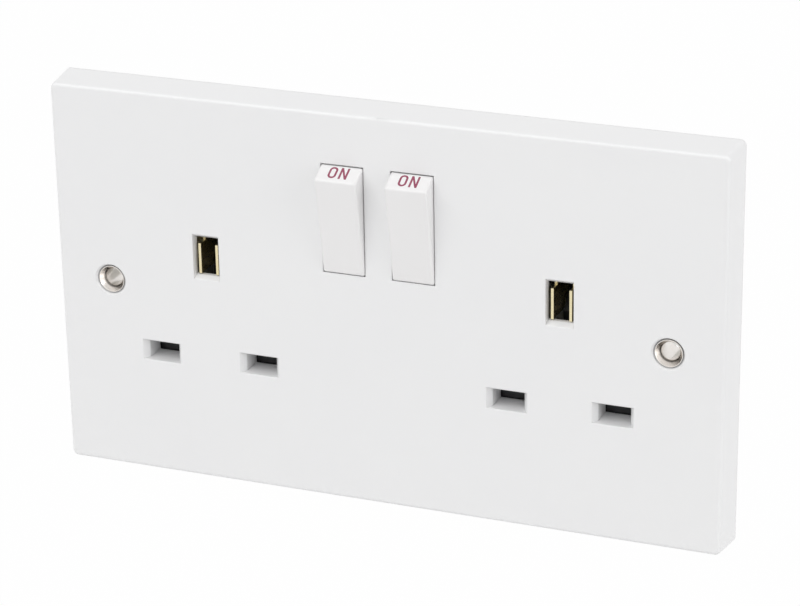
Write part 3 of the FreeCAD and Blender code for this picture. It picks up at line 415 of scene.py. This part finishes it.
def printed_ink(name, full, thin):
    """Pad printed ink: a satin film whose colour thins in specks."""
    material, tree, shader, place = start_finish(name, 0.38, ior=1.5)
    specks = add_node(tree, "ShaderNodeTexNoise",
                      {"Vector": place, "Scale": per_metre(SPECK_MM), "Detail": 2.0})
    cover = add_node(tree, "ShaderNodeMapRange",
                     {"Value": specks.outputs["Fac"], "From Min": INK_HOLDS, "From Max": INK_THINS})
    tone = add_node(tree, "ShaderNodeMix",
                    {SHARE: cover.outputs["Result"], FIRST: linear(full), SECOND: linear(thin)},
                    data_type="RGBA")
    tree.links.new(tone.outputs[MIXED], shader.inputs["Base Color"])
    return material


crimson = printed_ink("crimson_pad_print", "8C3853", "9C4E68")
print("made", crimson.name)

# %% Draw the two letters flat
CAP_HEIGHT = 3.0 * MM
LETTER_WIDTH = 1.76 * MM
LETTER_GAP = 0.6 * MM
STROKE = 0.42 * MM
DIAGONAL = 0.95 * MM
ROUND_SHARE = 0.49
ROUND_STEPS = 14


def add_ring(bm, left):
    """The letter O, flat, with its left edge at left: a rounded rectangle with the middle taken out."""
    across = Matrix.Diagonal((LETTER_WIDTH, CAP_HEIGHT, 1, 1))
    start = Matrix.Translation((left + LETTER_WIDTH / 2, CAP_HEIGHT / 2, 0)) @ across
    corners = bmesh.ops.create_grid(bm, x_segments=1, y_segments=1, size=0.5, matrix=start)["verts"]
    bmesh.ops.bevel(bm, geom=corners, offset=LETTER_WIDTH * ROUND_SHARE, affect="VERTICES",
                    segments=ROUND_STEPS, profile=0.5, material=-1)
    face = max(bm.faces, key=lambda f: len(f.verts))
    bmesh.ops.inset_individual(bm, faces=[face], thickness=STROKE)
    bmesh.ops.delete(bm, geom=[face], context="FACES")


def add_zigzag(bm, left):
    """The letter N, flat, with its left edge at left."""
    right = left + LETTER_WIDTH
    outline = [(left, 0), (left + STROKE, 0), (left + STROKE, CAP_HEIGHT - DIAGONAL),
               (right - STROKE, 0), (right, 0),
               (right, CAP_HEIGHT), (right - STROKE, CAP_HEIGHT), (right - STROKE, DIAGONAL),
               (left + STROKE, CAP_HEIGHT), (left, CAP_HEIGHT)]
    bm.faces.new([bm.verts.new((x, y, 0)) for x, y in outline])


word_width = 2 * LETTER_WIDTH + LETTER_GAP
print("word is", round(word_width / MM, 2), "mm wide and", round(CAP_HEIGHT / MM, 2), "mm high")

# %% [markdown]
# Finding the slope
#
# The words belong on the slope at the top of each rocker, wherever the CAD put it. Of the triangles
# that face up and forward at once, the largest lies on the slope itself, and the others count only if
# they face the same way, which leaves out the roundings. Their lowest corner gives a frame to print in:
# x to the right, y up the slope, z out of it. Each letter is a film that sinks a little into the slope,
# so no light shows under it.

# %% Find the slope, and turn a bmesh into a piece
FORWARD = -0.35
UPWARD = 0.75
SAME_WAY = 0.9999


def slope_frame(rocker):
    """A matrix with its origin mid way along the slope's lower edge, y up the slope and z out of it."""
    facing = [p for p in rocker.data.polygons if p.normal.y < FORWARD and p.normal.z > UPWARD]
    out = max(facing, key=lambda p: p.area).normal.copy()
    flat = [p for p in facing if p.normal.dot(out) > SAME_WAY]
    corners = [rocker.data.vertices[i].co for p in flat for i in p.vertices]
    across = Vector((1, 0, 0))
    up = out.cross(across)
    middle = (min(c.x for c in corners) + max(c.x for c in corners)) / 2
    foot = min(corners, key=lambda c: c.dot(up))
    origin = Vector((middle, foot.y, foot.z))
    return Matrix.Translation(origin) @ Matrix((across, up, out)).transposed().to_4x4()


def add_object(name, data):
    """A new object with this data, linked into the scene."""
    thing = bpy.data.objects.new(name, data)
    bpy.context.collection.objects.link(thing)
    return thing


def add_piece(name, bm):
    """A new object from a finished bmesh, which is freed."""
    mesh = bpy.data.meshes.new(name)
    bm.to_mesh(mesh)
    bm.free()
    return add_object(name, mesh)


lean = slope_frame(nodes["rocker_left"]).to_3x3().col[2].angle(Vector((0, -1, 0)))
print("the left slope leans back by", round(math.degrees(lean), 1), "degrees")

# %% Print a word on each rocker
WORD_RISE = 0.74 * MM
INK = 0.02 * MM
SUNK = INK / 4

for side in SIDES:
    bm = bmesh.new()
    start = -LETTER_WIDTH - LETTER_GAP / 2
    add_ring(bm, start)
    add_zigzag(bm, start + LETTER_WIDTH + LETTER_GAP)
    film = bmesh.ops.extrude_face_region(bm, geom=list(bm.faces))["geom"]
    raised = [v for v in film if isinstance(v, bmesh.types.BMVert)]
    bmesh.ops.translate(bm, vec=(0, 0, INK), verts=raised)
    bmesh.ops.triangulate(bm, faces=list(bm.faces))
    place = slope_frame(nodes[f"rocker_{side}"]) @ Matrix.Translation((0, WORD_RISE, -SUNK))
    bmesh.ops.transform(bm, matrix=place, verts=list(bm.verts))
    bmesh.ops.recalc_face_normals(bm, faces=list(bm.faces))
    word = add_piece(f"on_print_{side}", bm)
    dress(word, crimson)
    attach(word, f"{side}_rocker")
    print("printed", word.name, "at", [round(c / MM, 2) for c in place.translation])

# %% [markdown]
# Springs that give
# Spring copies
# A spring joins two bodies, so it can't ride on either: a rigid coil would be run through by the piece
# that presses on it. A copy of each coil takes the place of the CAD one, with its loose triangles merged
# into one skin, and its length and how far its joint gives are printed.

# %% Copy the springs
SAME_POINT = 0.001 * MM

for joint in frame["joints"]:
    slide = Vector(joint["axis"])
    for spring in joint.get("deforming_nodes", []):
        held = nodes[spring["node"]]
        bm = bmesh.new()
        bm.from_mesh(held.data)
        bmesh.ops.remove_doubles(bm, verts=list(bm.verts), dist=SAME_POINT)
        for face in bm.faces:
            face.smooth = True
        reach = [v.co.dot(slide) for v in bm.verts]
        coil = add_piece(f"{held.name}_coil", bm)
        dress(coil, spring_wire)
        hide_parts(held.name)
        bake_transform(coil)
        length = round((max(reach) - min(reach)) / MM, 2)
        give = round(joint["range_m"][1] / MM, 2)
        print(coil.name, "is", length, "mm long and gives", give, "mm")

# %% [markdown]
# Floor and light
#
# A socket is fixed to a wall, so nothing stands under it. The floor lies well below, where it catches
# a soft shadow. Studio white comes from what the camera, reflections and clear things see of the floor
# and the sky, at a strength of one, while the light that falls on the object stays at a plain level. A
# small share of the floor still shows its paint, which takes the shadow.

# %% Lay the floor
FLOOR_LEVEL = -0.25
FLOOR_SIZE = 6.0
FLOOR_WHITE = 0.975


def seen_directly(tree):
    """One where a camera, mirror or clear ray arrives, and nought for light that falls on things."""
    rays = add_node(tree, "ShaderNodeLightPath")
    camera_or_glossy = add_node(tree, "ShaderNodeMath",
                                {0: rays.outputs["Is Camera Ray"], 1: rays.outputs["Is Glossy Ray"]},
                                operation="MAXIMUM")
    any_of_three = add_node(tree, "ShaderNodeMath",
                            {0: camera_or_glossy.outputs[0], 1: rays.outputs["Is Transmission Ray"]},
                            operation="MAXIMUM")
    return any_of_three.outputs[0]


def pale_floor():
    """A pale painted floor that shows as studio white and still takes a shadow."""
    material, tree, shader = start_finish("painted_studio_floor", 0.8)[:3]
    shader.inputs["Base Color"].default_value = linear("E6E6E6")
    white = add_node(tree, "ShaderNodeEmission", {"Strength": 1.0})
    share = add_node(tree, "ShaderNodeMath", {0: seen_directly(tree), 1: FLOOR_WHITE}, operation="MULTIPLY")
    both = add_node(tree, "ShaderNodeMixShader",
                    {0: share.outputs[0], 1: shader.outputs["BSDF"], 2: white.outputs["Emission"]})
    tree.links.new(both.outputs["Shader"], tree.nodes["Material Output"].inputs["Surface"])
    return material


bm = bmesh.new()
bmesh.ops.create_grid(bm, x_segments=1, y_segments=1, size=FLOOR_SIZE / 2,
                      matrix=Matrix.Translation((0, 0, FLOOR_LEVEL)))
floor = add_piece("studio_floor", bm)
dress(floor, pale_floor())
print("floor at", FLOOR_LEVEL, "m")

# %% Set the sky
SKY_LEVEL = 0.60
WHITE = (1, 1, 1, 1)

world = bpy.data.worlds.new("studio_sky")
bpy.context.scene.world = world
world.use_nodes = True
sky = world.node_tree
light = sky.nodes["Background"]
light.inputs["Color"].default_value = WHITE
light.inputs["Strength"].default_value = SKY_LEVEL
backdrop = add_node(sky, "ShaderNodeBackground", {"Color": WHITE, "Strength": 1.0})
mixed = add_node(sky, "ShaderNodeMixShader",
                 {0: seen_directly(sky), 1: light.outputs["Background"], 2: backdrop.outputs["Background"]})
sky.links.new(mixed.outputs["Shader"], sky.nodes["World Output"].inputs["Surface"])
print("sky level", SKY_LEVEL)

# %% [markdown]
# Four soft lamps
#
# Much of the light in a white studio comes from everywhere. Two wide lamps hang high in front, one in
# the middle and one to the left. They reach the floors of the slots, and the left one lets the rockers
# throw a faint shadow to their right. A third grazes the front and lights the right end. The last stands
# low behind, for looking at the back. It would shine on the top of the plate, so reflections leave it out.

# %% Hang the lamps
LAMPS = [
    ("front_lamp", Vector((0.0, -2.26, 2.26)), 20.4),
    ("left_lamp", Vector((-1.60, -1.60, 2.26)), 27.8),
    ("side_lamp", Vector((3.03, -0.45, 0.94)), 30.4),
    ("back_lamp", Vector((-0.50, 3.10, 0.45)), 20.0),
]
LAMP_SIZE = 2.2

for name, place, power in LAMPS:
    lamp_data = bpy.data.lights.new(name, "AREA")
    lamp_data.shape = "DISK"
    lamp_data.size = LAMP_SIZE
    lamp_data.energy = power
    lamp = add_object(name, lamp_data)
    lamp.location = place
    lamp.rotation_euler = place.to_track_quat("Z", "Y").to_euler()
    lamp.visible_glossy = name != "back_lamp"
    print(name, "is", round(place.length, 2), "m away")

# %% [markdown]
# The camera
#
# The photograph was taken from above and to the right with a long lens. The corners of the plate, the
# slots and the rocker openings were matched to the object's known sizes, which gives the direction, the
# distance, a tilt of one degree and the focal length.

# %% Place the camera
AZIMUTH = math.radians(21.949)
ELEVATION = math.radians(21.882)
ROLL = math.radians(-1.008)
DISTANCE = 601.774 * MM
ASIDE = 0.989 * MM
ABOVE = -0.414 * MM
FOCAL_PIXELS = 2958.861
IMAGE_WIDTH = 800
SENSOR = 36.0

back = Vector((math.sin(AZIMUTH) * math.cos(ELEVATION),
               -math.cos(AZIMUTH) * math.cos(ELEVATION),
               math.sin(ELEVATION)))
level = Vector((math.cos(AZIMUTH), math.sin(AZIMUTH), 0))
upright = back.cross(level)
right = level * math.cos(ROLL) + upright * math.sin(ROLL)
up = upright * math.cos(ROLL) - level * math.sin(ROLL)
eye = back * DISTANCE + right * ASIDE + up * ABOVE

camera_data = bpy.data.cameras.new("camera")
camera_data.sensor_fit = "HORIZONTAL"
camera_data.sensor_width = SENSOR
camera_data.lens = FOCAL_PIXELS * SENSOR / IMAGE_WIDTH
camera = add_object("camera", camera_data)
camera.matrix_world = Matrix.Translation(eye) @ Matrix((right, up, back)).transposed().to_4x4()
bpy.context.scene.camera = camera
bpy.context.scene.view_settings.view_transform = "Standard"
print("lens", round(camera_data.lens, 1), "mm at", [round(c, 3) for c in eye])
